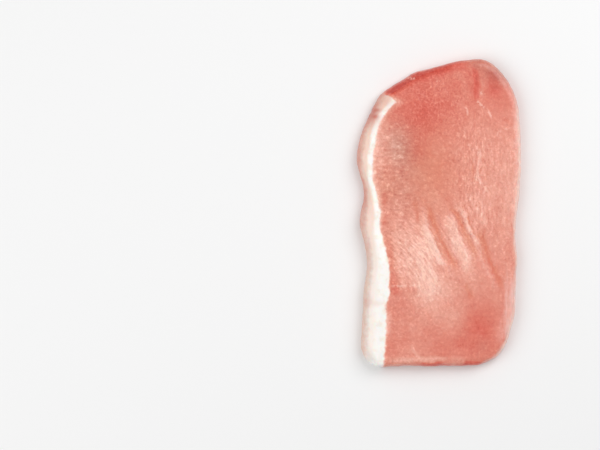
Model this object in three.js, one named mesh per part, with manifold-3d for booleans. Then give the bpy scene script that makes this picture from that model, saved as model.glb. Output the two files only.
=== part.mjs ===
// A thin-cut boneless raw pork chop, lying with one cut face up.
//
// It is one solid: the lean and the cap of fat along its left side are one piece of meat.
// Millimetres, +Z up. X runs from the fat side to the lean side and Y from the foot end to the
// top end. The origin is on the table, under the middle of the chop.
//
// The chop starts as a block of small cells and is bent to shape. The block's top becomes the
// cut face, its four sides become the rounded rim, and its underside is cut flat by the table.
import * as THREE from "three";
import { mergeVertices } from "three/addons/utils/BufferGeometryUtils.js";
import Module from "manifold-3d";

// ---------- Driving dimensions ----------
const LENGTH = 130; // foot end to top end
const WIDTH = 69; // fat side to lean side
const FAT_SIDE_THICKNESS = 9.0; // the slice is cut a little thicker along the fat
const LEAN_SIDE_THICKNESS = 7.0;

// ---------- Outline ----------
const FOOT_TAPER = 0.02 * WIDTH; // how far each long side draws in at the foot end
const CORNER_STEPS = 24; // points drawn on half a corner

// Each corner is a quarter of a superellipse. side is -1 at the fat and 1 at the lean, end is -1
// at the foot and 1 at the top. A fullness of 2 gives an ellipse, and more gives a squarer corner.
const FAT_TOP = { side: -1, end: 1, reachX: 0.65 * WIDTH, reachY: 0.323 * LENGTH, fullness: 1.88 };
const LEAN_TOP = { side: 1, end: 1, reachX: 0.3 * WIDTH, reachY: 0.29 * LENGTH, fullness: 2.2 };
const LEAN_FOOT = { side: 1, end: -1, reachX: 0.31 * WIDTH, reachY: 0.3 * LENGTH, fullness: 2.6 };
const FAT_FOOT = { side: -1, end: -1, reachX: 0.13 * WIDTH, reachY: 0.085 * LENGTH, fullness: 2.1 };

// Places where the outline is drawn in, as a muscle relaxes unevenly. Below 0 it swells out.
const WAISTS = [
  { x: -0.5 * WIDTH, y: 0.062 * LENGTH, depth: 2.0, reach: 8 },
  { x: -0.5 * WIDTH, y: -0.18 * LENGTH, depth: 2.9, reach: 17 },
  { x: -0.4 * WIDTH, y: 0.37 * LENGTH, depth: -1.0, reach: 7 },
  { x: 0.02 * WIDTH, y: 0.48 * LENGTH, depth: 2.3, reach: 10 },
  { x: 0.5 * WIDTH, y: -0.08 * LENGTH, depth: 1.4, reach: 17 },
  { x: 0.46 * WIDTH, y: -0.345 * LENGTH, depth: 0.95, reach: 8 },
  { x: 0.2 * WIDTH, y: -0.5 * LENGTH, depth: 0.85, reach: 9 },
];
// Small waves all the way round the rim: waves per millimetre of X and Y, height and phase.
const RIM_WAVES = [
  { perX: 0.021, perY: 0.033, height: 0.3, phase: 0.6 },
  { perX: 0.055, perY: 0.043, height: 0.18, phase: 2.1 },
  { perX: 0.09, perY: 0.077, height: 0.08, phase: 4.4 },
];

// ---------- Rim ----------
const SLOPE_REACH = 4.6; // on the left the rim slopes out this far below the cut face
const ROUND_REACH = 2.6; // and elsewhere it only rounds over
const SLOPE_FULLNESS = 1.7; // close to a straight slope
const ROUND_FULLNESS = 2.6; // well rounded
const SLOPE_STARTS = 0.1; // how far the outline has turned to the left where the slope begins,
const SLOPE_WHOLE = 0.6; // and where it has its whole reach
const WIDEST_HEIGHT = 2.6; // above the table
const TUCK_UNDER = 1.6; // how far the rim runs in again below its widest line
const UNDERSIDE_SPARE = 1.5; // what the table cuts away below the chop
const TABLE_DEPTH = 10;

// ---------- Fat cap ----------
const FAT_TURN = 0.35; // it follows the outline where that has turned this far to the left,
const FAT_CORNER = -0.45 * LENGTH; // but not round the corner at the foot
const FAT_BAND_TOP = 5.3; // width of the fat seen from above, sloping face and all
const FAT_BAND_FOOT = 9.8;
const FAT_BAND_NARROWS = { from: -0.27 * LENGTH, to: 0.1 * LENGTH };
const FAT_BULGES = [
  { y: 0.21 * LENGTH, extra: 1.4, reach: 6 },
  { y: -0.015 * LENGTH, extra: 2.0, reach: 5.5 },
];
const FAT_END = { from: 0.31 * LENGTH, to: 0.39 * LENGTH }; // where it sinks away towards the top
const FAT_RISE = 0.5; // it stands a little proud of the lean
const FAT_EDGE = 2.4; // over this width the fat falls away to the lean
const SEAM_DEPTH = 0.3; // and a soft groove runs along the seam
const SEAM_REACH = 2.2;

// ---------- Relief of the cut face ----------
// Grooves between bundles of muscle: where one starts, how it heads and bends, and its size.
const CREASES = [
  { x: -5.8, y: 6, heading: -76, bend: 28, length: 36, depth: 0.8, reach: 2.4 },
  { x: 2.7, y: 4.6, heading: -55, bend: -14, length: 28, depth: 0.75, reach: 2.2 },
  { x: 16.9, y: -5, heading: -82, bend: 26, length: 28, depth: 0.65, reach: 2.6 },
  { x: -21.5, y: -6, heading: -62, bend: -4, length: 24, depth: 0.4, reach: 2.6 },
];
const CREASE_STEPS = 30; // points drawn along one
const CREASE_RUN_OUT = 0.35; // share of its length over which each end grows shallow
// Broad hollows and rises, as a soft slice settles.
const SWELLS = [
  { x: -4, y: 20, reachX: 15, reachY: 20, rise: -0.55 },
  { x: -10, y: -28, reachX: 13, reachY: 20, rise: 0.6 },
  { x: 17, y: 22, reachX: 12, reachY: 22, rise: 0.35 },
  { x: 14, y: -44, reachX: 14, reachY: 12, rise: -0.35 },
  { x: 2, y: 54, reachX: 22, reachY: 12, rise: -0.45 },
];

// ---------- The block's cells ----------
const CELLS_ACROSS = 44;
const CELLS_ALONG = 80;
const CELLS_DOWN = 6; // rows of the rim, from the cut face to the underside
const RIM_TURN = Math.PI / CELLS_DOWN; // each row turns the rim by this angle
const CELLS_ROUND = 2 * (CELLS_ACROSS + CELLS_ALONG);

const { lerp, smoothstep, clamp } = THREE.MathUtils;

// 1 at a feature's middle, falling softly to nothing a few times its reach away.
const fade = (distance, reach) => Math.exp(-((distance / reach) ** 2));

// A corner's point: turn 0 is where it meets the long side, and turn 1 where it meets the end.
function cornerPoint({ side, end, reachX, reachY, fullness }, turn) {
  const angle = (turn * Math.PI) / 2;
  const halfWidth = WIDTH / 2 - (end < 0 ? FOOT_TAPER : 0);
  const across = halfWidth - reachX * (1 - Math.cos(angle) ** (2 / fullness));
  const along = LENGTH / 2 - reachY * (1 - Math.sin(angle) ** (2 / fullness));
  return new THREE.Vector2(side * across, end * along);
}

// The stretch of outline from the middle of one corner to the middle of the next. They meet
// along a long side where meet is 0, and along an end where it is 1.
function stretch(from, to, meet) {
  const turns = Array.from({ length: CORNER_STEPS + 1 }, (_, k) => lerp(0.5, meet, k / CORNER_STEPS));
  const leaving = turns.map((turn) => cornerPoint(from, turn));
  const arriving = turns.map((turn) => cornerPoint(to, turn)).reverse();
  return new THREE.Path([...leaving, ...arriving]);
}

// How far the rim stands out of the plain outline at a point.
function rimWave({ x, y }) {
  const drawnIn = WAISTS.reduce(
    (sum, waist) => sum + waist.depth * fade(Math.hypot(x - waist.x, y - waist.y), waist.reach),
    0,
  );
  const waves = RIM_WAVES.map(
    ({ perX, perY, height, phase }) => height * Math.sin(2 * Math.PI * (perX * x + perY * y) + phase),
  );
  return waves.reduce((sum, wave) => sum + wave, -drawnIn);
}

// The outward normal at each point of a closed ring that runs counter-clockwise.
function ringNormals(ring) {
  return ring.map((_, k) => {
    const before = ring.at(k - 1);
    const after = ring[(k + 1) % ring.length];
    return new THREE.Vector2(after.y - before.y, before.x - after.x).normalize();
  });
}

// The outline without its waists and waves, as one ring of points that runs counter-clockwise
// from the middle of the foot's fat corner.
function drawPlainOutline() {
  const stretches = [
    [stretch(FAT_FOOT, LEAN_FOOT, 1), CELLS_ACROSS],
    [stretch(LEAN_FOOT, LEAN_TOP, 0), CELLS_ALONG],
    [stretch(LEAN_TOP, FAT_TOP, 1), CELLS_ACROSS],
    [stretch(FAT_TOP, FAT_FOOT, 0), CELLS_ALONG],
  ];
  return stretches.flatMap(([path, cells]) => path.getSpacedPoints(cells).slice(0, cells));
}

// A ring's points, each moved outwards by its own distance.
const movedOut = (ring, distances) =>
  ring.map((point, k) => point.clone().addScaledVector(outward[k], distances[k]));

const plainOutline = drawPlainOutline();
const outward = ringNormals(plainOutline);
const outline = movedOut(plainOutline, plainOutline.map(rimWave));

// How much a stretch of rim slopes out, by how far the outline faces left.
const slopeShare = outward.map((normal) => smoothstep(-normal.x, SLOPE_STARTS, SLOPE_WHOLE));
const rimReach = slopeShare.map((share) => lerp(ROUND_REACH, SLOPE_REACH, share));
const rimFullness = slopeShare.map((share) => lerp(ROUND_FULLNESS, SLOPE_FULLNESS, share));

// The edge of the cut face, where the rim begins.
const cutEdge = movedOut(
  outline,
  rimReach.map((reach) => -reach),
);

// The stretch of outline that the cap of fat follows.
const fatOutline = outline.filter(({ y }, k) => -outward[k].x > FAT_TURN && y > FAT_CORNER);

// How deep a point lies in the cap of fat, in millimetres. It is negative in the lean.
function depthInFat(x, y) {
  const inset = Math.min(...fatOutline.map((point) => Math.hypot(point.x - x, point.y - y)));
  const narrowing = smoothstep(y, FAT_BAND_NARROWS.from, FAT_BAND_NARROWS.to);
  const bulges = FAT_BULGES.reduce((sum, bulge) => sum + bulge.extra * fade(y - bulge.y, bulge.reach), 0);
  return lerp(FAT_BAND_FOOT, FAT_BAND_TOP, narrowing) + bulges - inset;
}

// The rise of the fat and the groove at its seam.
function fatRelief(x, y) {
  const depth = depthInFat(x, y);
  const relief = FAT_RISE * smoothstep(depth, 0, FAT_EDGE) - SEAM_DEPTH * fade(depth, SEAM_REACH);
  return relief * (1 - smoothstep(y, FAT_END.from, FAT_END.to));
}

// How far a crease cuts in at a point. It bends evenly along its length, and runs out at its ends.
function creaseDepth(x, y, { x: startX, y: startY, heading, bend, length, depth, reach }) {
  let deepest = 0;
  const at = new THREE.Vector2(startX, startY);
  for (let step = 0; step <= CREASE_STEPS; step++) {
    const along = step / CREASE_STEPS;
    const whole = smoothstep(Math.min(along, 1 - along), 0, CREASE_RUN_OUT);
    deepest = Math.max(deepest, depth * whole * fade(Math.hypot(at.x - x, at.y - y), reach));
    const angle = THREE.MathUtils.degToRad(heading + bend * along);
    at.x += (Math.cos(angle) * length) / CREASE_STEPS;
    at.y += (Math.sin(angle) * length) / CREASE_STEPS;
  }
  return deepest;
}

// Height of the cut face above the table.
function cutFaceHeight(x, y) {
  const across = clamp(x / WIDTH + 0.5, 0, 1);
  const slice = lerp(FAT_SIDE_THICKNESS, LEAN_SIDE_THICKNESS, across);
  const swells = SWELLS.reduce(
    (sum, { x: midX, y: midY, reachX, reachY, rise }) =>
      sum + rise * fade(Math.hypot((x - midX) / reachX, (y - midY) / reachY), 1),
    0,
  );
  const creases = CREASES.reduce((sum, crease) => sum + creaseDepth(x, y, crease), 0);
  return slice + swells - creases + fatRelief(x, y);
}

// Where a cell corner on the block's side goes: row 0 is the cut face's edge, and the last row
// the edge of the underside.
function rimPoint(k, row) {
  const turn = Math.PI / 2 - row * RIM_TURN;
  const out = Math.abs(Math.cos(turn)) ** (2 / rimFullness[k]);
  const up = Math.abs(Math.sin(turn)) ** (2 / rimFullness[k]);
  const above = turn > 0;
  const reach = above ? rimReach[k] : TUCK_UNDER;
  const end = above ? cutFaceHeight(cutEdge[k].x, cutEdge[k].y) : -UNDERSIDE_SPARE;
  const plan = outline[k].clone().addScaledVector(outward[k], -reach * (1 - out));
  return new THREE.Vector3(plan.x, plan.y, lerp(WIDEST_HEIGHT, end, up));
}

// The outline's index of a cell corner on the block's side, from its column and line.
function ringIndex(column, line) {
  if (line === 0) return column;
  if (column === CELLS_ACROSS) return CELLS_ACROSS + line;
  if (line === CELLS_ALONG) return CELLS_ACROSS + CELLS_ALONG + (CELLS_ACROSS - column);
  return (CELLS_ROUND - line) % CELLS_ROUND;
}

// A point inside four edges, blended between them (a Coons patch).
function facePoint(edge, column, line) {
  const u = column / CELLS_ACROSS;
  const v = line / CELLS_ALONG;
  const at = (c, l) => edge[ringIndex(c, l)];
  const blend = (part) => {
    const ends = lerp(at(column, 0)[part], at(column, CELLS_ALONG)[part], v);
    const sides = lerp(at(0, line)[part], at(CELLS_ACROSS, line)[part], u);
    const foot = lerp(at(0, 0)[part], at(CELLS_ACROSS, 0)[part], u);
    const top = lerp(at(0, CELLS_ALONG)[part], at(CELLS_ACROSS, CELLS_ALONG)[part], u);
    return ends + sides - lerp(foot, top, v);
  };
  return { x: blend("x"), y: blend("y") };
}

// Bends the block of cells into the chop.
function bendBlock() {
  const block = new THREE.BoxGeometry(2, 2, 2, CELLS_ACROSS, CELLS_ALONG, CELLS_DOWN);
  const position = block.getAttribute("position");
  for (let i = 0; i < position.count; i++) {
    const column = Math.round(((position.getX(i) + 1) / 2) * CELLS_ACROSS);
    const line = Math.round(((position.getY(i) + 1) / 2) * CELLS_ALONG);
    const row = Math.round(((1 - position.getZ(i)) / 2) * CELLS_DOWN);
    const onSide = column % CELLS_ACROSS === 0 || line % CELLS_ALONG === 0;
    if (onSide) {
      const { x, y, z } = rimPoint(ringIndex(column, line), row);
      position.setXYZ(i, x, y, z);
    } else {
      const { x, y } = facePoint(cutEdge, column, line);
      position.setXYZ(i, x, y, row === 0 ? cutFaceHeight(x, y) : -UNDERSIDE_SPARE);
    }
  }
  return block;
}

// ---------- Solids ----------
const wasm = await Module();
wasm.setup();

function toSolid(geometry) {
  const shell = geometry.clone();
  shell.deleteAttribute("normal");
  shell.deleteAttribute("uv");
  const merged = mergeVertices(shell, 1e-3);
  return new wasm.Manifold(
    new wasm.Mesh({
      numProp: 3,
      vertProperties: merged.getAttribute("position").array,
      triVerts: new Uint32Array(merged.index.array),
    }),
  );
}

function toGeometry(solid) {
  const { vertProperties, triVerts } = solid.getMesh();
  const geometry = new THREE.BufferGeometry();
  geometry.setAttribute("position", new THREE.BufferAttribute(vertProperties, 3));
  geometry.setIndex(new THREE.BufferAttribute(triVerts, 1));
  return geometry;
}

// The table: whatever of the chop would sink below it is cut off flat.
function table() {
  return new THREE.BoxGeometry(2 * WIDTH, 2 * LENGTH, TABLE_DEPTH).translate(0, 0, -TABLE_DEPTH / 2);
}

// Puts the middle of a geometry's plan over the origin.
function centrePlan(geometry) {
  geometry.computeBoundingBox();
  const middle = geometry.boundingBox.getCenter(new THREE.Vector3());
  return geometry.translate(-middle.x, -middle.y, 0);
}

// ---------- The part ----------
const rawPork = new THREE.MeshStandardMaterial({ color: 0xe2927e, roughness: 0.4, metalness: 0 });

const chop = new THREE.Mesh(
  centrePlan(toGeometry(toSolid(bendBlock()).subtract(toSolid(table())))),
  rawPork,
);
chop.name = "pork_chop";

const group = new THREE.Group();
group.add(chop);

export default group;
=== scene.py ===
"""A raw pork chop on a pale table: moist pink lean with a cap of white fat along its left side.

Metres, +Z up. X runs from the fat side to the lean side, and Y from the foot end to the top end.
The slice is one piece of flesh, carved finer than its solid. What tells its lean from its fat,
and its folds, fibres and redder places, is worked out for each point of the mesh and stored
there, and the finish reads it. Places on the cut face are shares of its half width and half
length: (-1, 0) is the middle of the fat side and (0, 1) the middle of the top end. Places up
the side are shares of the half length alone.
"""

import bpy
import numpy as np
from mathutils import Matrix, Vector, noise


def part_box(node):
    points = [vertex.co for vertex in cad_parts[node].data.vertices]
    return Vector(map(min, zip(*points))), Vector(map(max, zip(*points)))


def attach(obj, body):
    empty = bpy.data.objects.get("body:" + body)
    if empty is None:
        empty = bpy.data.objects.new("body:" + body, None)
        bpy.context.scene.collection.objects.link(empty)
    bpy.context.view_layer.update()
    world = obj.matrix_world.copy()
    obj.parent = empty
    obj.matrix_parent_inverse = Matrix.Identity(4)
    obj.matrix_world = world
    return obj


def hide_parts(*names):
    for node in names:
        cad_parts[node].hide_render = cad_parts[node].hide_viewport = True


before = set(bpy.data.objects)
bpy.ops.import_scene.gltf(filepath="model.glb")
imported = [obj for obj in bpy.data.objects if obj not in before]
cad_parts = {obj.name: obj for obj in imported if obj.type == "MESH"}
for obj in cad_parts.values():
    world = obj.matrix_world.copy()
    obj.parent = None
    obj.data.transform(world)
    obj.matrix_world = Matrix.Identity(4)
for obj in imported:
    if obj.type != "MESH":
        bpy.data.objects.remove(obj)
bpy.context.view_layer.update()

NODE = "pork_chop"
MM = 0.001
LOW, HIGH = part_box(NODE)
HALF = np.array([HIGH.x - LOW.x, HIGH.y - LOW.y]) / 2  # half width and half length

# ---------- The mesh ----------
SAME_PLACE = 0.001 * MM  # corners closer than this are one
VOXEL = 0.35 * MM
RIM_HEIGHT = 2.6 * MM  # where the slice is widest
SAME_HEIGHT = 0.02 * MM
FACE_UP = 0.9  # the cut face faces up more than this
FACE_ABOVE = 2 * RIM_HEIGHT  # and lies higher than this
SOFTEN_BY = 0.5
SOFTEN_ALL = 7  # rounds of smoothing that the whole slice gets
SOFTEN_FACE = 22  # and that its cut face gets after them
UNDERSIDE_BELOW = 0.15 * MM
UNDERSIDE_DOWN = -0.99  # the underside faces down more than this
UNDERSIDE_KEPT = 0.05  # share of its faces that stay

# ---------- The cap of fat ----------
FAT_SIDE_LEFT_OF = -0.4  # it follows the outline that lies left of here
FAT_SIDE_WITHIN = 0.93  # and this near to the middle of the side
FAT_BAND_FOOT = 9.9 * MM  # its width from the outline in, sloping outer face and all
FAT_BAND_TOP = 5.3 * MM
FAT_NARROWS = (-0.54, 0.2)  # from here to here along the side
# Places where it is wider or, below 0, narrower: how far up the side, by how much, for how long.
FAT_BULGES = [
    (0.71, 1.6 * MM, 0.050),
    (0.42, 1.4 * MM, 0.090),
    (0.33, 0.6 * MM, 0.050),
    (0.20, -0.9 * MM, 0.060),
    (-0.03, 2.0 * MM, 0.085),
    (-0.515, 0.9 * MM, 0.035),
    (-0.61, -0.7 * MM, 0.030),
    (-0.92, -1.3 * MM, 0.050),
]
FAT_END = (-0.58, 0.745)  # it ends bluntly here
FAT_END_SLOPE = 0.47  # and its end line falls this steeply to the lean
FAT_END_ROUNDING = 0.8 * MM
FAT_EDGE_WAVES = (0.35 * MM, 4 * MM)  # how far its edge waves, and how long the waves are
FAT_EDGE_TEETH = (0.5 * MM, 1.5 * MM)  # and the same for its small teeth
TEETH_EASE = (-0.3, 0.2)  # from here to here along the side
TEETH_AT_TOP = 0.5  # they ease to this share
STRIP_FOOT = 4.6 * MM  # width of the white strip where the fat is cut
STRIP_TOP = 2.0 * MM
STRIP_NARROWS = (-0.45, 0.05)
SKIN_SOFT_FOOT = 1.5 * MM  # half the width over which the strip turns to the outer face
SKIN_SOFT_TOP = 0.7 * MM
SKIN_EDGE_WAVES = (0.4 * MM, 6 * MM)  # how far that turn waves, and how long the waves are
# Creases across the fat: how far up the side, how deep and how wide.
NICKS = [(-0.59, 0.12 * MM, 1.1 * MM), (0.65, 0.22 * MM, 0.9 * MM), (0.10, 0.12 * MM, 1.6 * MM)]
NICK_WAVES = (2.0 * MM, 7 * MM)  # how far they wave, and how long the waves are
# Pink stains on the fat: middle, reach each way and strength. The four near the top end are partly
# painted pink shade.
STAINS_AND_SHADE = [
    ((-0.820, 0.640), (0.090, 0.072), 0.80),
    ((-0.755, 0.668), (0.055, 0.010), 0.45),
    ((-0.771, 0.625), (0.045, 0.014), 0.35),
    ((-0.630, 0.720), (0.100, 0.045), 0.28),
    ((-0.910, 0.085), (0.050, 0.100), 0.35),
    ((-0.740, -0.590), (0.080, 0.020), 0.2),
    ((-0.880, -0.575), (0.060, 0.030), 0.3),
]

# ---------- The lean ----------
# Fibres run round a point outside the fat side, level with the lower half of the slice.
GRAIN_CENTRE = (-1.34, -0.72)

# Folds between bundles of muscle: places that each passes through, its half width, and its
# strength, which is below 0 in a hollow. Hollows are a deeper, warmer pink, partly painted shade,
# and ridges are paler, partly painted sheen.
FOLDS = [
    ([(-0.17, 0.08), (-0.05, -0.10), (0.05, -0.235), (0.27, -0.385)], 2.0 * MM, -0.85),
    ([(0.00, -0.19), (0.10, -0.29), (0.25, -0.38)], 2.2 * MM, -0.35),
    ([(0.09, 0.08), (0.24, -0.05), (0.335, -0.155), (0.46, -0.33)], 1.5 * MM, -0.8),
    ([(0.485, -0.06), (0.52, -0.16), (0.59, -0.29), (0.84, -0.53)], 1.8 * MM, -0.8),
    ([(0.335, 0.01), (0.39, -0.086), (0.48, -0.18)], 0.5 * MM, -0.9),
    ([(0.29, -0.45), (0.35, -0.51), (0.40, -0.58)], 1.4 * MM, -0.5),
    ([(-0.31, 0.11), (-0.26, -0.08)], 1.0 * MM, -0.4),
    ([(-0.22, 0.02), (-0.15, -0.13), (-0.02, -0.26), (0.12, -0.38)], 1.9 * MM, 0.85),
    ([(-0.10, -0.13), (-0.02, -0.26), (0.08, -0.37)], 0.9 * MM, 0.3),
    ([(0.06, 0.04), (0.165, -0.10), (0.255, -0.235), (0.42, -0.44)], 2.4 * MM, 0.9),
    ([(0.19, 0.10), (0.31, -0.03), (0.40, -0.13), (0.51, -0.24)], 0.9 * MM, 0.95),
    ([(0.49, 0.03), (0.56, -0.10)], 1.3 * MM, 0.5),
    ([(0.45, 0.44), (0.485, 0.36), (0.46, 0.30), (0.475, 0.235), (0.55, 0.16)], 0.5 * MM, 0.8),
    ([(0.38, 0.36), (0.40, 0.28), (0.43, 0.20)], 0.4 * MM, -0.5),
]
FOLD_RISE = 0.34 * MM
FOLD_RUN_OUT = 0.28  # share of its length over which each end fades
FOLD_WANDER = [(0.45 * MM, 1.6 * MM), (0.7 * MM, 4.5 * MM)]  # how far and how often their edges wander

# Redness: 0 is the palest flesh, 1 deep pink, and more is blood red.
PLAIN_REDNESS = 0.55
# Hollows redder and ridges paler, partly as painted shade and sheen.
FOLD_REDNESS_AND_SHADE = 0.30
FIBRE_REDNESS = 0.11
# Painted light and shade: fibres and the fine grain make the lean lighter and darker, as their relief
# would be lit.
FIBRE_PAINTED_LIGHT = 0.06  # painted light: how much lighter raised fibres are made, as their relief would be lit
GRAIN_PAINTED_LIGHT = 0.42
# Redder places (above 0) and paler ones: middle, reach each way and change in redness.
BLUSHES = [
    ((0.00, 0.88), (1.90, 0.28), 0.24),
    ((-0.19, 0.64), (0.36, 0.13), 0.16),
    ((-0.36, 0.46), (0.36, 0.42), 0.14),
    ((0.47, 0.83), (0.16, 0.10), 0.08),
    ((0.80, 0.80), (0.20, 0.20), 0.06),
    ((0.66, 0.20), (0.34, 0.34), -0.12),
    ((-0.15, -0.34), (0.30, 0.19), -0.38),
    ((-0.45, -0.20), (0.22, 0.14), -0.22),
    ((-0.12, -0.52), (0.18, 0.14), -0.22),
    ((0.49, -0.72), (0.24, 0.13), 0.36),
    ((0.14, -0.83), (0.24, 0.05), 0.05),
    ((0.10, -0.88), (1.20, 0.12), 0.18),
    ((0.10, 0.28), (0.20, 0.24), 0.06),
    ((-0.15, 0.60), (0.30, 0.16), 0.06),
    ((0.28, -0.16), (0.24, 0.13), -0.12),
    ((-0.17, -0.16), (0.14, 0.10), -0.08),
    ((0.02, -0.49), (0.20, 0.07), -0.10),
    ((0.19, -0.68), (0.14, 0.08), -0.18),
    ((-0.48, -0.62), (0.20, 0.08), 0.14),
    ((-0.28, 0.40), (0.16, 0.10), 0.12),
    ((0.50, 0.07), (0.12, 0.06), -0.14),
    ((-0.28, -0.89), (0.22, 0.07), -0.15),
    ((-0.58, 0.45), (0.18, 0.13), -0.20),
    ((0.38, -0.30), (0.09, 0.16), -0.13),
    ((0.03, -0.35), (0.10, 0.08), 0.18),
    ((-0.06, 0.08), (0.08, 0.06), -0.10),
    ((0.88, 0.14), (0.12, 0.26), -0.12),
]
# Redder and paler strokes, laid out like folds. The first two run along the top end from the fat and
# are deep red partly as painted shade where the rim slopes down there.
STREAKS_AND_SHADE_FADE = (3.5 * MM, 6.5 * MM)  # down the rim they fade between these heights
STREAKS_AND_SHADE_LOST = 0.7  # and lose this share
STREAKS_AND_SHADE = [
    ([(-0.90, 0.66), (-0.58, 0.804), (-0.23, 0.901), (0.12, 0.948), (0.42, 0.980)], 2.4 * MM, 0.50),
    ([(-0.84, 0.69), (-0.60, 0.795), (-0.36, 0.87)], 1.8 * MM, 0.16),
    ([(0.43, 0.96), (0.445, 0.84), (0.465, 0.71)], 1.2 * MM, 0.24),
    ([(0.40, 0.95), (0.42, 0.86)], 1.8 * MM, 0.08),
    ([(0.525, 0.89), (0.525, 0.74)], 0.8 * MM, -0.15),
    ([(0.64, 0.96), (0.67, 0.86), (0.68, 0.72)], 2.6 * MM, 0.20),
    ([(0.10, 0.99), (0.30, 0.84), (0.36, 0.72)], 1.6 * MM, -0.10),
    ([(-0.57, 0.65), (-0.72, 0.37), (-0.63, 0.09)], 1.7 * MM, -0.14),
    ([(-0.66, 0.18), (-0.67, 0.04), (-0.66, -0.12)], 1.3 * MM, 0.14),
    ([(-0.63, -0.12), (-0.59, -0.34), (-0.50, -0.58)], 2.0 * MM, 0.26),
    ([(0.78, -0.42), (0.77, -0.60), (0.70, -0.78)], 0.5 * MM, 0.14),
    ([(-0.66, -0.505), (-0.22, -0.500)], 1.3 * MM, 0.14),
    ([(-0.74, -0.952), (-0.25, -0.950), (0.22, -0.946)], 1.2 * MM, -0.32),
    ([(-0.36, -0.85), (-0.28, -0.91), (-0.19, -0.945)], 0.7 * MM, -0.22),
    ([(0.12, -0.950), (0.34, -0.952)], 1.2 * MM, -0.20),
    ([(-0.28, -0.977), (-0.08, -0.975), (0.07, -0.975)], 0.7 * MM, 0.40),
    ([(0.27, -0.975), (0.54, -0.968)], 0.7 * MM, 0.35),
    ([(-0.615, -0.62), (-0.62, -0.82)], 1.0 * MM, -0.22),
    ([(-0.35, -0.990), (0.70, -0.985)], 0.5 * MM, 0.5),
]
# The lean is paler beside the fat.
HALO_REDNESS = -0.5
HALO_REACH_FOOT = 0.7  # in millimetres from the fat
HALO_REACH = 1.6
HALO_BEGINS = (-0.15, 0.05)  # it widens from here to here along the side

# Thin seams of marbling in the lean, laid out like folds.
SEAMS = [
    ([(0.425, 0.735), (0.50, 0.705), (0.56, 0.675)], 0.55 * MM, 0.8),
    ([(0.56, 0.675), (0.61, 0.645), (0.65, 0.610)], 0.60 * MM, 0.8),
    ([(0.49, 0.780), (0.53, 0.775)], 0.65 * MM, 0.6),
    ([(-0.40, 0.876), (-0.28, 0.871)], 0.50 * MM, 0.8),
    ([(-0.04, 0.862), (-0.02, 0.850)], 0.45 * MM, 0.5),
    ([(0.00, 0.858), (0.03, 0.852)], 0.40 * MM, 0.5),
    ([(0.05, 0.846), (0.055, 0.830)], 0.40 * MM, 0.4),
    ([(0.295, 0.695), (0.335, 0.670), (0.345, 0.620)], 0.45 * MM, 0.6),
    ([(-0.55, 0.385), (-0.42, 0.355)], 0.50 * MM, 0.7),
    ([(-0.53, 0.425), (-0.48, 0.435)], 0.50 * MM, 0.6),
    ([(-0.47, 0.500), (-0.38, 0.508)], 0.45 * MM, 0.45),
    ([(-0.48, 0.477), (-0.38, 0.482)], 0.45 * MM, 0.45),
    ([(-0.47, 0.452), (-0.39, 0.458)], 0.40 * MM, 0.40),
    ([(0.46, 0.440), (0.48, 0.360)], 0.45 * MM, 0.7),
    ([(0.53, 0.200), (0.56, 0.165), (0.60, 0.120)], 0.50 * MM, 0.8),
    ([(-0.62, -0.472), (-0.20, -0.468)], 0.40 * MM, 0.8),
    ([(0.705, 0.495), (0.725, 0.525), (0.77, 0.53)], 0.50 * MM, 0.6),
    ([(0.80, 0.555), (0.83, 0.530)], 0.55 * MM, 0.6),
    ([(0.92, 0.55), (0.94, 0.50)], 0.55 * MM, 0.6),
    ([(0.305, 0.530), (0.315, 0.480)], 0.50 * MM, 0.5),
    ([(0.36, 0.460), (0.36, 0.425)], 0.50 * MM, 0.5),
]
# Where the cut flesh looks tan, and where it looks dull: middle, reach each way and strength. The dull
# places beside the fat are a painted greyish sheen, the shine of the wet surface.
TAN = [
    ((-0.10, 0.26), (0.30, 0.26), 1.1),
    ((-0.62, -0.27), (0.10, 0.20), 0.5),
    ((-0.64, 0.16), (0.14, 0.14), 0.6),
]
DULL_AND_SHEEN = [
    ((-0.48, 0.44), (0.15, 0.15), 1.0),
    ((-0.36, 0.34), (0.22, 0.18), 0.5),
    ((-0.46, 0.10), (0.20, 0.14), 0.5),
    ((0.52, -0.86), (0.08, 0.06), 0.4),
    ((0.46, 0.97), (0.10, 0.04), 1.0),
    ((0.62, 0.93), (0.14, 0.06), 1.0),
    ((0.76, 0.89), (0.17, 0.07), 1.4),
]
HOLLOW_TAN = 1.5  # hollows look tan as well
# The thin pale skin on the rim of the lean, laid out like folds.
SILVER = [
    ([(0.91, -0.36), (0.90, -0.56), (0.85, -0.72), (0.74, -0.87)], 1.7 * MM, 0.7),
    ([(0.88, -0.36), (0.87, -0.56), (0.81, -0.73), (0.70, -0.88)], 3.0 * MM, 0.4),
    ([(0.83, -0.30), (0.82, -0.50), (0.79, -0.74)], 0.5 * MM, 0.4),
]
# The rim of the lean is pale where it is thin: partly its own pale flesh, partly painted light, as
# light shining through it and lifting the shade on its rounding.
THIN_LIT_REACH_FOOT = 1.0 * MM
THIN_LIT_REACH = 1.7 * MM
THIN_LIT_WIDENS = (-0.2, 0.1)  # from here to here along the side
THIN_LIT_ROUND = (0.50, 0.70)  # it starts between these shares of the half width
THIN_LIT_LOWER = (0.62, 0.88)  # and weakens between these of the half length
THIN_LIT_AT_TOP = 0.25  # to this strength
THIN_LIT_HEIGHTS = (2.2 * MM, 6.2 * MM)  # it comes up between these heights
THIN_LIT_WISPS = [(0.35, (9 * MM,)), (0.3, (1.6 * MM, 3 * MM, 1.6 * MM))]  # laid out like weaves
THIN_LIT_WISPY = 0.5  # how far they change its strength

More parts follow.
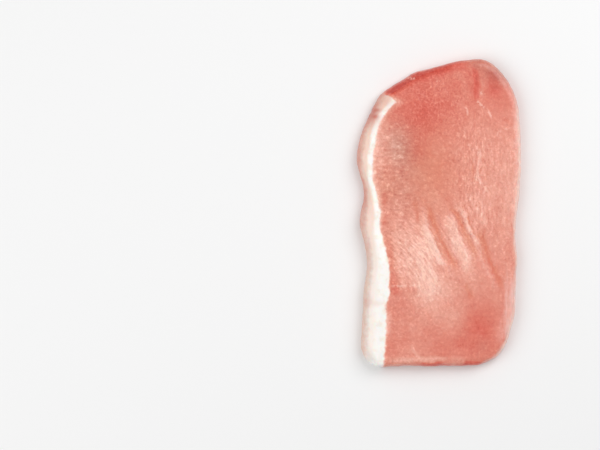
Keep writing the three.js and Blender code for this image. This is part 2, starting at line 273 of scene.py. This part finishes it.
# How the fibres show: middle, reach each way and strength of each kind of place.
BARK = [  # coarse and upright
    ((0.40, 0.32), (0.22, 0.40), 1.0),
    ((0.44, 0.00), (0.22, 0.16), 0.9),
    ((0.78, 0.40), (0.22, 0.20), 0.3),
    ((0.86, 0.00), (0.14, 0.50), 0.4),
]
HATCH = [((-0.30, -0.28), (0.36, 0.26), 1.0), ((0.20, -0.16), (0.30, 0.20), 0.9)]  # fine and slanting
COMB = [((-0.60, 0.30), (0.32, 0.36), 0.9), ((-0.50, 0.02), (0.24, 0.14), 0.7)]  # level, by the fat
CURLS = [((-0.05, 0.72), (0.50, 0.26), 1.0)]  # short and curled
CALM = [  # smooth places
    ((0.10, -0.84), (1.00, 0.26), 0.65),
    ((0.65, -0.55), (0.40, 0.24), 0.6),
    ((-0.08, 0.30), (0.22, 0.24), 0.5),
    ((0.80, 0.15), (0.20, 0.35), 0.3),
    ((0.72, 0.76), (0.34, 0.22), 0.7),
]
CALM_SHARE = 0.7  # how much of the grain goes there
HOLLOW_CALM = 0.5  # hollows lose this share of their fibres
PLAIN_FIBRES = 0.5
FIBRE_LIFT = 0.3  # how much more the light ones stand out than the dark ones
FIBRE_SPREAD = 0.35  # the usual square of a fibre's height, so the lift leaves the mean alone

# The weaves that those places show: strengths, and the size of their bumps along each axis.
BARK_WANDER = (0.9 * MM, 2.6 * MM)
BARK_BUMPS = [(2.4, (0.62 * MM, 2.6 * MM, 2 * MM))]
BARK_THREADS = [(0.4, (1.4 * MM, 6 * MM, 2 * MM))]
HATCH_BUMPS = [(2.2, (0.6 * MM, 4.5 * MM, 2 * MM))]
HATCH_THREADS = [(0.8, (1.2 * MM, 7.0 * MM, 2 * MM))]
COMB_BUMPS = [(1.7, (3.0 * MM, 0.9 * MM, 2 * MM)), (0.9, (1.5 * MM,))]
CURL_STRENGTH = 1.3
CURL_SIZE = 1.4 * MM
CURL_GROUND = 0.4  # how far the ground between curls lies lower
PLAIN_BUMPS = [(2.0, (1.1 * MM, 1.8 * MM, 2 * MM))]
CALM_BUMPS = [(0.8, (7 * MM, 1.6 * MM, 4 * MM))]
THREAD_FINENESS = 4  # the higher, the thinner they are

# ---------- Relief ----------
FLAT_BELOW = 0.3 * MM  # the underside takes no relief
RELIEF_ABOVE = 1.5 * MM  # and higher than this the flesh takes all of it
FACE_TURNS = (0.5, 0.95)  # how far up the flesh faces where the cut face starts and is whole
FAT_TAKES_OVER = (-0.3, 0.5)  # depths in the fat, in millimetres
FIBRE_RISE = 0.07 * MM
# Bumps, laid out like weaves.
LUMPS = [(0.22 * MM, (16 * MM,)), (0.10 * MM, (6 * MM,))]
LEAN_BUMPS = [(0.05 * MM, (2.4 * MM,))]
LEAN_RIM_BUMPS = [(0.16 * MM, (2.6 * MM, 2.6 * MM, 9 * MM))]
FAT_DIMPLES = [(0.10 * MM, (2.8 * MM, 3.6 * MM, 4 * MM))]
FAT_WRINKLES = [(0.16 * MM, (6 * MM, 2.2 * MM, 9 * MM))]

# ---------- Colours ----------
PALE_FLESH = (250, 200, 183)
# Pale rim flesh, partly painted light shining through the thin rim.
THIN_LIT_FLESH = (255, 222, 210)
LIGHT_FLESH = (240, 176, 158)
FLESH = (230, 153, 134)
RED_FLESH = (223, 129, 110)
DEEP_FLESH = (218, 104, 87)
BLOOD = (200, 64, 49)
TAN_TINT = (0.96, 0.99, 0.82, 1.0)  # shares of the light that tan flesh, and dull flesh with painted greyish sheen, still give back
DULL_AND_SHEEN_TINT = (0.80, 1.0, 1.02, 1.0)
SILVER_SKIN = (240, 192, 182)
FAT_WHITE = (254, 250, 244)
FAT_CREAM = (249, 238, 226)
SKIN_FOOT = (248, 236, 228)
SKIN_TOP = (244, 214, 198)
# Edge colours of the fat's outer face: its own pinker tone and painted shade along the outline.
SKIN_EDGE_AND_SHADE_FOOT = (231, 196, 179)
SKIN_EDGE_AND_SHADE_TOP = (222, 152, 134)
# Pink of the stains, and of the painted shade near the top end of the fat.
FAT_STAIN_AND_SHADE = (208, 124, 110)
TABLE_WHITE = (244, 244, 244)

# ---------- Finish ----------
# The lean's colour at each redness.
FLESH_BY_REDNESS = [
    (0.0, PALE_FLESH),
    (0.25, LIGHT_FLESH),
    (0.5, FLESH),
    (0.75, RED_FLESH),
    (1.0, DEEP_FLESH),
    (1.4, BLOOD),
]
REDDEST = FLESH_BY_REDNESS[-1][0]
# Noise in the finish: the size of its bumps along each axis, in millimetres.
BLOTCH_SIZES = (5.0, 5.0, 5.0)
MOTTLE_SIZES = (1.2, 1.2, 1.2)
GRAIN_SIZES = (0.6, 0.6, 0.6)
GLINT_SIZES = (0.8, 0.9, 0.8)
FLECK_SIZES = (1.0, 1.1, 1.0)
SEAM_GAP_SIZES = (1.2, 1.2, 1.2)
SILVER_LAYER_SIZES = (0.9, 9.0, 1.2)
FAT_CLOUD_SIZES = (3.0, 3.0, 3.0)
SKIN_PATCH_SIZES = (2.0, 2.0, 4.0)
FAT_EDGE_SIZES = (0.7, 0.7, 0.7)
FAT_GRAIN_SIZES = (1.0, 1.0, 1.0)
WET_SIZES = (7.0, 7.0, 7.0)
# Where that noise starts to show, and where it shows whole.
GLINTS_SHOW = (0.60, 0.72)
FLECKS_SHOW = (0.58, 0.76)
SEAMS_SHOW = (0.40, 0.55)
SILVER_SHOWS = (0.15, 0.60)
CREAM_SHOWS = (0.48, 0.70)
# How much redder it makes the lean, or how much paler.
BLOTCHES = 0.22
MOTTLE = 0.25
GRAIN = 0.16
FLECKS = 0.12
# Painted glints: pale specks on raised fibres that stand for the small highlights of wet flesh.
GLINTS = 0.22
# How much of each tint or colour the lean takes on.
TAN_SHARE = 0.5
DULL_AND_SHEEN_SHARE = 0.6
SEAM_SHARE = 0.8
SILVER_SHARE = 0.8
THIN_LIT_SHARE = 0.85
# How high the grain stands, in millimetres.
MOTTLE_HEIGHT = 0.05
GRAIN_HEIGHT = 0.03
FAT_GRAIN_HEIGHT = 0.04

SKIN_REDDENS = (-35.0, 15.0)  # from here to here along the fat side, in millimetres
SKIN_EDGE_AND_SHADE_ENDS = 0.7  # share of the outer face over which it turns from its edge colour, partly painted shade
SKIN_PATCHES = 0.6
FAT_BEGINS = (-0.60, 0.35)  # depths, in millimetres, between which lean turns to fat
FAT_EDGE_RAGGED = 0.6
ROUGHNESS = 0.32
DRY_ROUGHNESS = 0.2  # how much rougher it is where it is drier
FAT_ROUGHNESS = 0.06
MOIST = {
    "Subsurface Weight": 0.35,
    "Subsurface Radius": (1.0, 0.45, 0.3),
    "Subsurface Scale": 0.8 * MM,
    "Coat Weight": 0.3,
    "Coat Roughness": 0.22,
    "IOR": 1.4,
}

# ---------- Table, light and camera ----------
TABLE_SIZE = 4.0
TABLE_MATT = {"Roughness": 0.6, "Specular IOR Level": 0.2}
ROOM_LIGHT = 0.45
# Square soft boxes: place, size and watts.
SOFT_BOXES = {
    "key": ((0.35, 0.30, 0.60), 0.5, 2.8),
    "fill": ((-0.45, -0.10, 0.55), 0.6, 1.9),
}
CAMERA_HEIGHT = 3.0  # over the cut face
CAMERA_AIM = (-58.5 * MM, -5.0 * MM)  # the chop lies right of the middle of the picture
VIEW_WIDTH = 252 * MM
SENSOR = 36.0


# ======================================================================================
# Shapes, worked out for all points at once
# ======================================================================================

def smooth_rise(values, low, high):
    """0 up to low, 1 from high on, and a soft step between them."""
    share = np.clip((values - low) / (high - low), 0, 1)
    return share * share * (3 - 2 * share)


def between(share, first, second):
    """first where share is 0, and second where it is 1."""
    return first + (second - first) * share


def on_face(place):
    """A place on the cut face, from its shares of the half width and half length."""
    return np.array(place) * HALF


def measure(points, line):
    """How far each point lies from a line through points, and its share of the way along it."""
    distance = np.full(len(points), np.inf)
    along = np.zeros(len(points))
    spans = np.diff(line, axis=0)
    for k, (start, span) in enumerate(zip(line, spans)):
        share = np.clip((points - start) @ span / (span @ span), 0, 1)
        apart = np.linalg.norm(points - start - share[:, None] * span, axis=1)
        nearer = apart < distance
        distance[nearer] = apart[nearer]
        along[nearer] = (k + share[nearer]) / len(spans)
    return distance, along


def smooth_line(places, steps=24):
    """Points on a smooth line through a few places on the cut face."""
    knots = on_face(places)
    ways = np.concatenate([[0], np.cumsum(np.linalg.norm(np.diff(knots, axis=0), axis=1))])
    bends = [np.polyfit(ways, part, len(knots) - 1) for part in knots.T]
    return np.column_stack([np.polyval(bend, np.linspace(0, ways[-1], steps + 1)) for bend in bends])


def strokes(points, lines):
    """The sum of strokes along smooth lines, each even in its middle and fading at its ends."""
    total = np.zeros(len(points))
    for places, width, strength in lines:
        distance, along = measure(points, smooth_line(places))
        whole = smooth_rise(np.minimum(along, 1 - along), 0, FOLD_RUN_OUT)
        total += strength * whole * np.exp(-((distance / width) ** 3))
    return total


def patches(points, spots):
    """The sum of soft oval patches."""
    total = np.zeros(len(points))
    for middle, reach, strength in spots:
        away = np.linalg.norm((points - on_face(middle)) / on_face(reach), axis=1)
        total += strength * np.exp(-(away ** 2))
    return total


def ripples(points, *sizes):
    """Smooth noise from about -1 to 1, with bumps of the given size along each axis."""
    return np.array([noise.noise(p) for p in (points / np.array(sizes)).tolist()])


def threads(points, *sizes):
    """Thin raised threads: 1 along the top of each, and down to -1 between them."""
    return np.clip(1 - THREAD_FINENESS * np.abs(ripples(points, *sizes)), -1, 1)


def layers(points, bumps, fine_threads=()):
    """The sum of layers of ripples and of threads, each with its strength and its sizes."""
    total = sum(strength * ripples(points, *sizes) for strength, sizes in bumps)
    return total + sum(strength * threads(points, *sizes) for strength, sizes in fine_threads)


def waves(points, reach, size):
    """Smooth noise that reaches this far each way, with bumps of this size."""
    return reach * ripples(points, size)


def shifted(points, reach, size):
    """Points moved about by smooth noise, so that what is laid out on them wanders."""
    far_off = 17 * size  # the noise there is unlike the noise here
    sideways = [ripples(points + shift, size) for shift in (0, far_off)]
    return points + reach * np.column_stack(sideways + [0 * sideways[0]])


def along_grain(points):
    """Points as their distance from the fibres' centre, their way along the fibres and height."""
    offset = points[:, :2] - on_face(GRAIN_CENTRE)
    radius = np.linalg.norm(offset, axis=1)
    turn = np.arctan2(offset[:, 1], offset[:, 0])
    return np.column_stack([radius, turn * radius.mean(), points[:, 2]])


# ======================================================================================
# The flesh
# ======================================================================================

def fine_copy(node):
    """A finer mesh of the slice's solid, smoothed, with its cut face smoothed most."""
    flesh = bpy.data.objects.new("raw_flesh", node.data.copy())
    bpy.context.scene.collection.objects.link(flesh)
    bpy.ops.object.select_all(action="DESELECT")
    flesh.select_set(True)
    bpy.context.view_layer.objects.active = flesh
    bpy.ops.object.mode_set(mode="EDIT")
    bpy.ops.mesh.select_all(action="SELECT")
    bpy.ops.mesh.remove_doubles(threshold=SAME_PLACE)
    bpy.ops.object.mode_set(mode="OBJECT")

    remesh = flesh.modifiers.new("grain", "REMESH")
    remesh.mode = "VOXEL"
    remesh.voxel_size = VOXEL
    bpy.ops.object.modifier_apply(modifier=remesh.name)

    corners = flesh.data.vertices
    facing_up = [v.index for v in corners if v.normal.z > FACE_UP and v.co.z > FACE_ABOVE]
    flesh.vertex_groups.new(name="cut_face").add(facing_up, 1.0, "REPLACE")
    for name, rounds, group in (("soften", SOFTEN_ALL, ""), ("settle", SOFTEN_FACE, "cut_face")):
        smooth = flesh.modifiers.new(name, "SMOOTH")
        smooth.factor = SOFTEN_BY
        smooth.iterations = rounds
        smooth.vertex_group = group
        bpy.ops.object.modifier_apply(modifier=name)
    flesh.vertex_groups.clear()
    bpy.ops.object.shade_smooth()
    thin_underside(flesh)
    return flesh


def thin_underside(flesh):
    """Leaves fewer faces on the flat underside, which has no relief."""
    for face in flesh.data.polygons:
        face.select = face.center.z < UNDERSIDE_BELOW and face.normal.z < UNDERSIDE_DOWN
    bpy.ops.object.mode_set(mode="EDIT")
    bpy.ops.mesh.select_mode(type="FACE")
    bpy.ops.mesh.decimate(ratio=UNDERSIDE_KEPT)
    bpy.ops.object.mode_set(mode="OBJECT")


def rim_line(node):
    """The slice's outline in plan, from the middle of the fat side round by the foot."""
    corners = np.array([v.co for v in node.data.vertices])
    at_rim = np.abs(corners[:, 2] - RIM_HEIGHT) < SAME_HEIGHT
    widest = np.unique(corners[at_rim, :2].round(7), axis=0)
    return widest[np.argsort(np.arctan2(widest[:, 1], widest[:, 0]))]


def fat_side(outline):
    """The stretch of outline that the cap of fat follows, from the foot up."""
    shares = outline / HALF
    follows = (shares[:, 0] < FAT_SIDE_LEFT_OF) & (np.abs(shares[:, 1]) < FAT_SIDE_WITHIN)
    side = outline[follows]
    return side[np.argsort(side[:, 1])]


def thin_lit_rim(points, outline):
    """Where the rim of the lean side is painted pale, as light shining through it: about 1 there, less
    at the top end, and 0 elsewhere.
    """
    shares = points[:, :2] / HALF
    inset, _ = measure(points[:, :2], outline[outline[:, 0] > 0])
    widened = between(smooth_rise(shares[:, 1], *THIN_LIT_WIDENS), THIN_LIT_REACH_FOOT, THIN_LIT_REACH)
    wisps = layers(points, THIN_LIT_WISPS)
    reach = widened * (1 + wisps)
    strength = between(smooth_rise(shares[:, 1], *THIN_LIT_LOWER), 1, THIN_LIT_AT_TOP)
    on_side = smooth_rise(shares[:, 0], *THIN_LIT_ROUND) * smooth_rise(points[:, 2], *THIN_LIT_HEIGHTS)
    return strength * on_side * (1 + THIN_LIT_WISPY * wisps) * np.exp(-((inset / reach) ** 2))


def fat_fields(points, outline):
    """The cap of fat, for each point of the mesh.

    fat is the depth in it in millimetres, and below 0 in the lean. skin is 1 on its outer face
    and 0 on the white strip where it is cut. across runs from 0 at the outline to 1 at the
    strip, and stain is above 0 where it is pink: stains, and near the top end partly
    painted shade.
    """
    plan = points[:, :2]
    up_side = plan[:, 1] / HALF[1]
    inset, _ = measure(plan, fat_side(outline))
    band = between(smooth_rise(up_side, *FAT_NARROWS), FAT_BAND_FOOT, FAT_BAND_TOP)
    for height, extra, reach in FAT_BULGES:
        band += extra * np.exp(-(((up_side - height) / reach) ** 2))

    end = on_face(FAT_END)
    below_end = end[1] - FAT_END_SLOPE * (plan[:, 0] - end[0]) - plan[:, 1]
    toothed = between(smooth_rise(up_side, *TEETH_EASE), 1, TEETH_AT_TOP)
    ragged = waves(points, *FAT_EDGE_WAVES) + toothed * waves(points, *FAT_EDGE_TEETH)
    depths = [-depth / FAT_END_ROUNDING for depth in (band - inset, below_end)]
    fat = ragged - FAT_END_ROUNDING * np.logaddexp(*depths)

    strip = between(smooth_rise(up_side, *STRIP_NARROWS), STRIP_FOOT, STRIP_TOP)
    soft = between(smooth_rise(up_side, *STRIP_NARROWS), SKIN_SOFT_FOOT, SKIN_SOFT_TOP)
    edge = band - strip + waves(points, *SKIN_EDGE_WAVES)
    return {
        "fat": fat / MM,
        "skin": 1 - smooth_rise(inset, edge - soft, edge + soft),
        "across": np.clip(inset / edge, 0, 1),
        "stain": patches(plan, STAINS_AND_SHADE),
    }


def lean_fields(points, fat):
    """The lean, for each point of the mesh.

    fold is below 0 in hollows and above 0 on ridges. redness is the lean's colour, with painted
    shade in hollows and along the top end and painted sheen on ridges. fibre is above 0 on raised
    pale fibres, and seam is marbling. tan and dull tint the flesh, the latter partly as a
    painted greyish sheen; silver is the fine pale skin on the rim, and calm is where the grain is
    faint.
    """
    plan = points[:, :2]
    loose = points
    for reach, size in FOLD_WANDER:
        loose = shifted(loose, reach, size)
    loose = loose[:, :2]
    grain = along_grain(points)
    fold = strokes(loose, FOLDS)
    places = [np.minimum(patches(plan, kind), 1) for kind in (BARK, HATCH, COMB, CURLS)]
    weaves = [
        layers(shifted(points, *BARK_WANDER), BARK_BUMPS, BARK_THREADS),
        layers(grain, HATCH_BUMPS, HATCH_THREADS),
        layers(points, COMB_BUMPS),
        CURL_STRENGTH * np.clip(threads(points, CURL_SIZE), 0, 1) - CURL_GROUND,
    ]
    calm = np.minimum(patches(plan, CALM), 1)
    plain = PLAIN_FIBRES * (1 - np.minimum(sum(places), 1))
    fibre = plain * layers(grain, PLAIN_BUMPS)
    for place, weave in zip(places, weaves):
        fibre += place * weave
    fibre = np.tanh(fibre)
    fibre += FIBRE_LIFT * (fibre ** 2 - FIBRE_SPREAD)
    fibre *= (1 - CALM_SHARE * calm) * (1 - HOLLOW_CALM * np.clip(-fold, 0, 1))
    fibre += calm * layers(points, CALM_BUMPS)
    down_rim = 1 - smooth_rise(points[:, 2], *STREAKS_AND_SHADE_FADE)
    # Redder and paler strokes; along the top end partly painted shade.
    streaked_and_shaded = (1 - STREAKS_AND_SHADE_LOST * down_rim) * strokes(loose, STREAKS_AND_SHADE)
    redness = PLAIN_REDNESS + patches(plan, BLUSHES) + streaked_and_shaded
    up_side = smooth_rise(plan[:, 1] / HALF[1], *HALO_BEGINS)
    halo = between(up_side, HALO_REACH_FOOT, HALO_REACH)
    redness += HALO_REDNESS * np.exp(-((fat / halo) ** 2))
    return {
        "fold": fold,
        "redness": redness - FOLD_REDNESS_AND_SHADE * fold - FIBRE_REDNESS * fibre,
        "fibre": fibre,
        "seam": strokes(plan, SEAMS),
        "tan": patches(plan, TAN) + np.clip(-HOLLOW_TAN * fold, 0, HOLLOW_TAN),
        "dull": patches(plan, DULL_AND_SHEEN),
        "silver": strokes(loose, SILVER),
        "calm": calm,
    }


def relief(points, facing_up, fields):
    """How far each point of the flesh is pushed out, from its lumps, folds and fibres."""
    face = smooth_rise(facing_up, *FACE_TURNS)
    raised = FOLD_RISE * fields["fold"] + FIBRE_RISE * fields["fibre"]
    lean = between(face, layers(points, LEAN_RIM_BUMPS), raised + layers(points, LEAN_BUMPS))
    fat = between(face, layers(points, FAT_WRINKLES), layers(points, FAT_DIMPLES))
    up_side = points[:, 1] + waves(points, *NICK_WAVES)
    for height, depth, width in NICKS:
        fat -= depth * np.exp(-(((up_side - height * HALF[1]) / width) ** 2))
    in_fat = smooth_rise(fields["fat"], *FAT_TAKES_OVER)
    above_table = smooth_rise(points[:, 2], FLAT_BELOW, RELIEF_ABOVE)
    return above_table * (face * layers(points, LUMPS) + between(in_fat, lean, fat))


def store(mesh, fields):
    """Keeps each field on the mesh, where the finish reads it."""
    for name, values in fields.items():
        attribute = mesh.attributes.new(name, "FLOAT", "POINT")
        attribute.data.foreach_set("value", values.astype(np.float32))


def carve_flesh():
    """The whole chop, with its relief and with the fields that its finish reads."""
    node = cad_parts[NODE]
    flesh = fine_copy(node)
    mesh = flesh.data
    count = len(mesh.vertices)
    points = np.empty(count * 3)
    mesh.vertices.foreach_get("co", points)
    points = points.reshape(-1, 3)
    normals = np.array([v.normal for v in mesh.vertices])

    outline = rim_line(node)
    fields = fat_fields(points, outline)
    fields.update(lean_fields(points, fields["fat"]))
    fields["thin"] = thin_lit_rim(points, outline)
    points += relief(points, normals[:, 2], fields)[:, None] * normals
    points[:, 2] = np.maximum(points[:, 2], 0)
    mesh.vertices.foreach_set("co", points.ravel())
    store(mesh, fields)
    mesh.update()
    return flesh


# ======================================================================================
# Finishes
# ======================================================================================

def linear(colour):
    """A colour as it is seen, 0 to 255, as the light that it gives back."""
    shares = [part / 255 for part in colour]
    return [s / 12.92 if s <= 0.04045 else ((s + 0.055) / 1.055) ** 2.4 for s in shares] + [1.0]


class Value:
    """A socket in a material. Sums on values add Math nodes."""

    def __init__(self, finish, socket):
        self.finish = finish
        self.socket = socket

    def math(self, operation, first, second):
        return self.finish.node("ShaderNodeMath", {"operation": operation}, {0: first, 1: second})

    def __add__(self, other):
        return self.math("ADD", self, other)

    def __sub__(self, other):
        return self.math("SUBTRACT", self, other)

    def __rsub__(self, other):
        return self.math("SUBTRACT", other, self)

    def __mul__(self, other):
        return self.math("MULTIPLY", self, other)

    __radd__ = __add__
    __rmul__ = __mul__


class Finish:
    """A material and the nodes that are added to it."""

    def __init__(self, name):
        self.material = bpy.data.materials.new(name)
        self.material.use_nodes = True
        self.tree = self.material.node_tree
        self.tree.nodes.clear()

    def node(self, kind, settings=None, inputs=None, output=0):
        """Adds a node, makes its settings, feeds its inputs and gives one of its outputs."""
        node = self.tree.nodes.new(kind)
        for name, setting in (settings or {}).items():
            if name == "stops":
                set_stops(node.color_ramp, setting)
            else:
                setattr(node, name, setting)
        for name, given in (inputs or {}).items():
            if isinstance(given, Value):
                self.tree.links.new(given.socket, node.inputs[name])
            else:
                node.inputs[name].default_value = given
        return Value(self, node.outputs[output]) if node.outputs else None

    def stored(self, name):
        """A field that is stored on the mesh."""
        return self.node("ShaderNodeAttribute", {"attribute_name": name}, output="Fac")

    def place(self):
        """Where a point is on the object, in millimetres."""
        metres = self.node("ShaderNodeTexCoord", output="Object")
        return self.stretched(metres, (1 / MM,) * 3)

    def stretched(self, vector, factors):
        return self.node("ShaderNodeVectorMath", {"operation": "MULTIPLY"}, {0: vector, 1: factors})

    def step(self, value, low, high):
        """0 up to low, 1 from high on, and a soft step between them."""
        return self.node(
            "ShaderNodeMapRange",
            {"interpolation_type": "SMOOTHSTEP"},
            {"Value": value, "From Min": low, "From Max": high},
        )

    def noise(self, place, sizes, detail=2.0):
        """Noise from 0 to 1, with bumps of the given size in millimetres along each axis."""
        scaled = self.stretched(place, tuple(1 / size for size in sizes))
        return self.node("ShaderNodeTexNoise", None, {"Vector": scaled, "Scale": 1.0, "Detail": detail})

    def swing(self, place, sizes, detail=2.0):
        """The same noise from -0.5 to 0.5."""
        return self.noise(place, sizes, detail) - 0.5

    def blend(self, share, first, second, way="MIX"):
        """The first colour where share is 0, and the second, or their product, where it is 1."""
        settings = {"data_type": "RGBA", "clamp_factor": True, "blend_type": way}
        return self.node("ShaderNodeMix", settings, {0: share, 6: first, 7: second}, output=2)

    def times(self, colour, factor):
        """A colour made lighter or darker."""
        return self.node("ShaderNodeVectorMath", {"operation": "SCALE"}, {0: colour, "Scale": factor})

    def ramp(self, value, stops):
        return self.node("ShaderNodeValToRGB", {"stops": stops}, {0: value})


def set_stops(ramp, stops):
    """Puts colours at their places from 0 to 1 on a ramp that starts with two."""
    for position, _ in stops[2:]:
        ramp.elements.new(position)
    for element, (position, colour) in zip(ramp.elements, stops):
        element.position = position
        element.color = colour


def lean_colour(finish, place):
    """The lean's colour, with painted light and shade on its grain, fibres and rim, and the height of
    its fine grain in millimetres.
    """
    fibre = finish.stored("fibre")
    mottle = finish.swing(place, MOTTLE_SIZES)
    grain = finish.swing(place, GRAIN_SIZES, detail=1.0)
    # Painted glints: pale specks on the raised fibres, standing for highlights on wet flesh.
    glints = finish.step(finish.noise(place, GLINT_SIZES, detail=0.0), *GLINTS_SHOW)
    flecks = finish.step(finish.noise(place, FLECK_SIZES, detail=0.0), *FLECKS_SHOW)
    plain = 1 - finish.stored("calm") * CALM_SHARE
    fine = (mottle * MOTTLE + grain * GRAIN + flecks * FLECKS) * plain + glints * fibre * GLINTS
    redness = finish.stored("redness") + finish.swing(place, BLOTCH_SIZES) * BLOTCHES - fine
    stops = [(stop / REDDEST, linear(colour)) for stop, colour in FLESH_BY_REDNESS]
    flesh = finish.ramp(redness * (1 / REDDEST), stops)

    tanned = finish.blend(finish.stored("tan") * TAN_SHARE, flesh, TAN_TINT, "MULTIPLY")
    # Painted greyish sheen beside the fat, where the wet surface shines.
    dulled_and_sheened = finish.blend(finish.stored("dull") * DULL_AND_SHEEN_SHARE, tanned, DULL_AND_SHEEN_TINT, "MULTIPLY")
    broken = finish.step(finish.noise(place, SEAM_GAP_SIZES), *SEAMS_SHOW)
    seams = finish.stored("seam") * broken * SEAM_SHARE
    seamed = finish.blend(seams, dulled_and_sheened, linear(PALE_FLESH))
    layered = finish.step(finish.noise(place, SILVER_LAYER_SIZES), *SILVER_SHOWS)
    silver = finish.stored("silver") * layered * SILVER_SHARE
    silvered = finish.blend(silver, seamed, linear(SILVER_SKIN))
    # Painted light: the thin rim paler, as if lit through from behind.
    rim_lit = finish.blend(finish.stored("thin") * THIN_LIT_SHARE, silvered, linear(THIN_LIT_FLESH))
    # Painted light and shade of the fibres and fine grain, as their relief would catch the light.
    shade = 1 + fibre * FIBRE_PAINTED_LIGHT + fine * GRAIN_PAINTED_LIGHT
    return finish.times(rim_lit, shade), mottle * MOTTLE_HEIGHT + grain * GRAIN_HEIGHT


def fat_colour(finish, place):
    """The fat's colour: white where it is cut, and a pinkish cream on its outer face, pinker towards
    the outline with painted shade.
    """
    creamy = finish.step(finish.noise(place, FAT_CLOUD_SIZES), *CREAM_SHOWS)
    cut = finish.blend(creamy, linear(FAT_WHITE), linear(FAT_CREAM))
    along = finish.node("ShaderNodeSeparateXYZ", None, {0: place}, output="Y")
    up_side = finish.step(along, *SKIN_REDDENS)
    face = finish.blend(up_side, linear(SKIN_FOOT), linear(SKIN_TOP))
    # Near the outline the outer face takes its edge colour, partly painted shade.
    edge = finish.blend(up_side, linear(SKIN_EDGE_AND_SHADE_FOOT), linear(SKIN_EDGE_AND_SHADE_TOP))
    across = finish.stored("across") + finish.swing(place, SKIN_PATCH_SIZES) * SKIN_PATCHES
    skin = finish.blend(finish.step(across, 0.0, SKIN_EDGE_AND_SHADE_ENDS), edge, face)
    both = finish.blend(finish.stored("skin"), cut, skin)
    # Pink stains, and painted pink shade near the top end.
    return finish.blend(finish.stored("stain"), both, linear(FAT_STAIN_AND_SHADE))


def surface(finish, inputs):
    """Ends a material in a surface with these inputs."""
    shader = finish.node("ShaderNodeBsdfPrincipled", None, inputs)
    finish.node("ShaderNodeOutputMaterial", None, {"Surface": shader})
    return finish.material


def raw_pork():
    """Moist lean and waxy fat in one finish, told apart by how deep in the fat a point is."""
    finish = Finish("raw_pork")
    place = finish.place()
    lean, grain_height = lean_colour(finish, place)
    fat = fat_colour(finish, place)
    ragged = finish.swing(place, FAT_EDGE_SIZES) * FAT_EDGE_RAGGED
    fatness = finish.step(finish.stored("fat") + ragged, *FAT_BEGINS)
    fat_grain = finish.noise(place, FAT_GRAIN_SIZES) * FAT_GRAIN_HEIGHT
    height = grain_height * (1 - fatness) + fat_grain
    dryness = finish.noise(place, WET_SIZES) * DRY_ROUGHNESS
    inputs = {
        "Base Color": finish.blend(fatness, lean, fat),
        "Roughness": ROUGHNESS + dryness + fatness * FAT_ROUGHNESS,
        "Normal": finish.node("ShaderNodeBump", None, {"Distance": MM, "Height": height}),
    }
    return surface(finish, {**inputs, **MOIST})


def table_white():
    return surface(Finish("table_white"), {"Base Color": linear(TABLE_WHITE), **TABLE_MATT})


# ======================================================================================
# The studio
# ======================================================================================

def lay_table():
    bpy.ops.mesh.primitive_plane_add(size=TABLE_SIZE)
    table = bpy.context.active_object
    table.name = "table"
    table.data.materials.append(table_white())


def hang_light(name, place, size, watts):
    """A square soft box that faces the chop."""
    lamp = bpy.data.lights.new(name, "AREA")
    lamp.size = size
    lamp.energy = watts
    box = bpy.data.objects.new(name, lamp)
    bpy.context.scene.collection.objects.link(box)
    box.location = place
    box.rotation_mode = "QUATERNION"
    box.rotation_quaternion = box.location.to_track_quat("Z", "Y")


def light_studio():
    world = bpy.data.worlds.new("studio")
    bpy.context.scene.world = world
    world.use_nodes = True
    room = world.node_tree.nodes["Background"]
    room.inputs["Color"].default_value = (1, 1, 1, 1)
    room.inputs["Strength"].default_value = ROOM_LIGHT
    for name, (place, size, watts) in SOFT_BOXES.items():
        hang_light(name, place, size, watts)


def set_camera():
    """Straight above the table, with the top end of the chop upwards."""
    camera = bpy.data.cameras.new("camera")
    camera.sensor_width = SENSOR
    camera.lens = SENSOR * CAMERA_HEIGHT / VIEW_WIDTH
    holder = bpy.data.objects.new("camera", camera)
    bpy.context.scene.collection.objects.link(holder)
    holder.location = (*CAMERA_AIM, CAMERA_HEIGHT + HIGH.z)
    bpy.context.scene.camera = holder


# ======================================================================================
# The chop
# ======================================================================================

bpy.context.scene.view_settings.view_transform = "Standard"
set_camera()
light_studio()
lay_table()

chop = carve_flesh()
chop.data.materials.clear()
chop.data.materials.append(raw_pork())
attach(chop, "root")
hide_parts(NODE)
